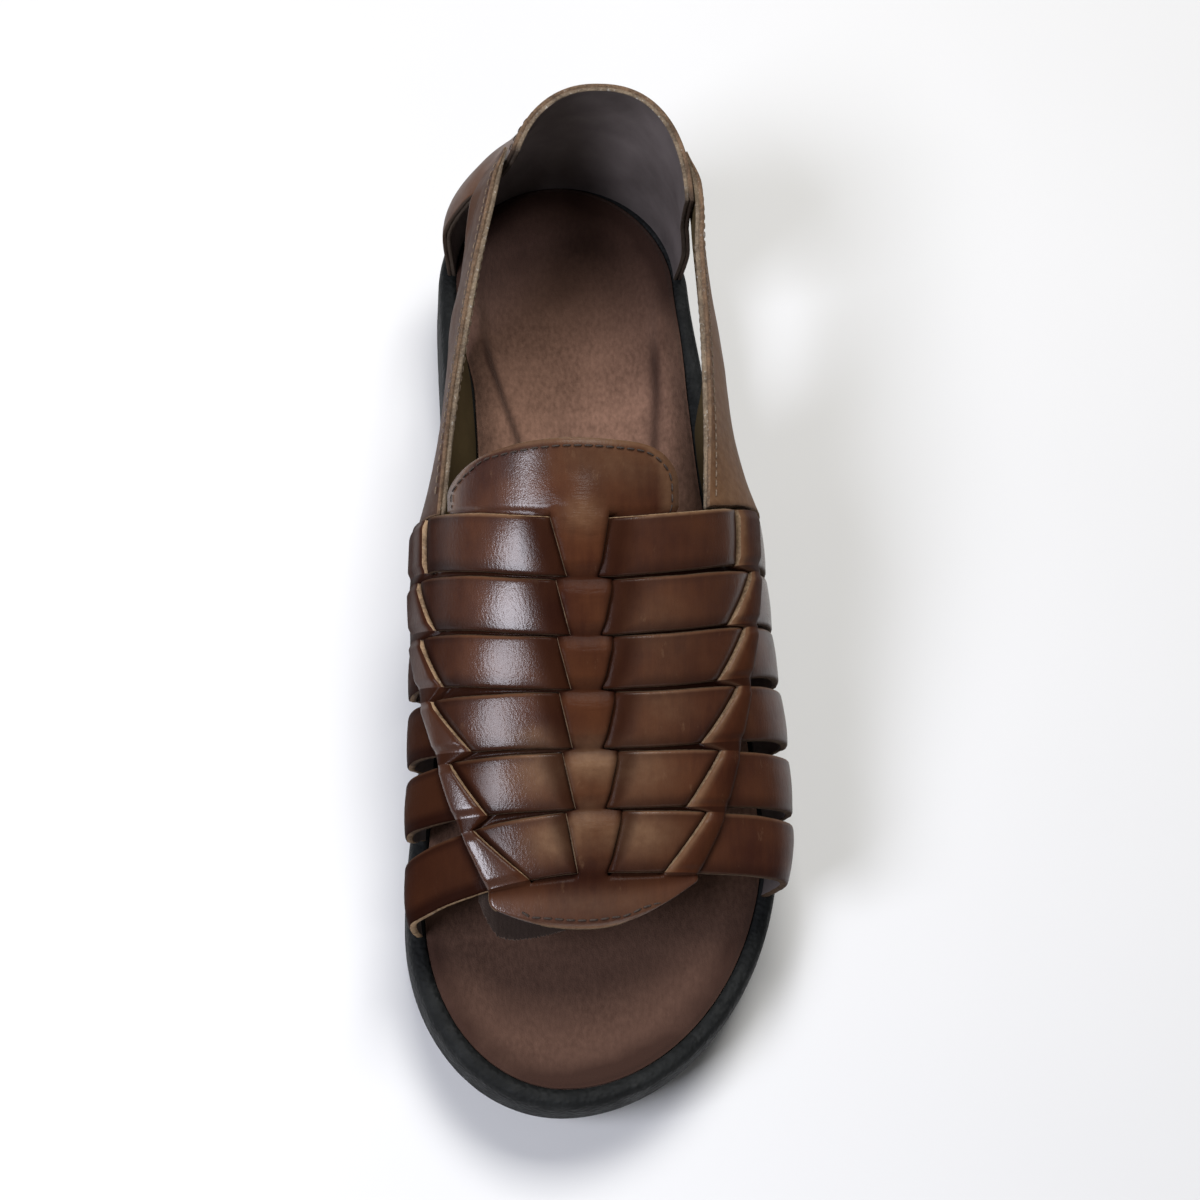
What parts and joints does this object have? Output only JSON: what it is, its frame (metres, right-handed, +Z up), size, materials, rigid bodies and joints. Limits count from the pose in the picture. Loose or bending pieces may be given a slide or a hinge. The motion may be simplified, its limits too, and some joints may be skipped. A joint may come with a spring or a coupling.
{
  "type": "fisherman sandal",
  "caption": "Open-toed fisherman sandal for the left foot: cross straps woven through a slit leather plug, sling bands, a short heel counter and a contoured footbed on a rubber unit sole.",
  "frame": {"origin": "centre of the bounding box in plan, at the floor under the sole", "axes": "+X towards the outer side of the foot, +Y from toe to heel, +Z up"},
  "size_m": [0.1002, 0.274, 0.0915],
  "materials": {
    "rubber": "pebbled matt",
    "suede": "napped",
    "leather": "polished, fine grain"
  },
  "bodies": {
    "root": {"sole": "rubber", "insole": "suede", "upper": "leather", "band_medial": "leather", "band_lateral": "leather", "heel_counter": "leather"}
  },
  "joints": []
}
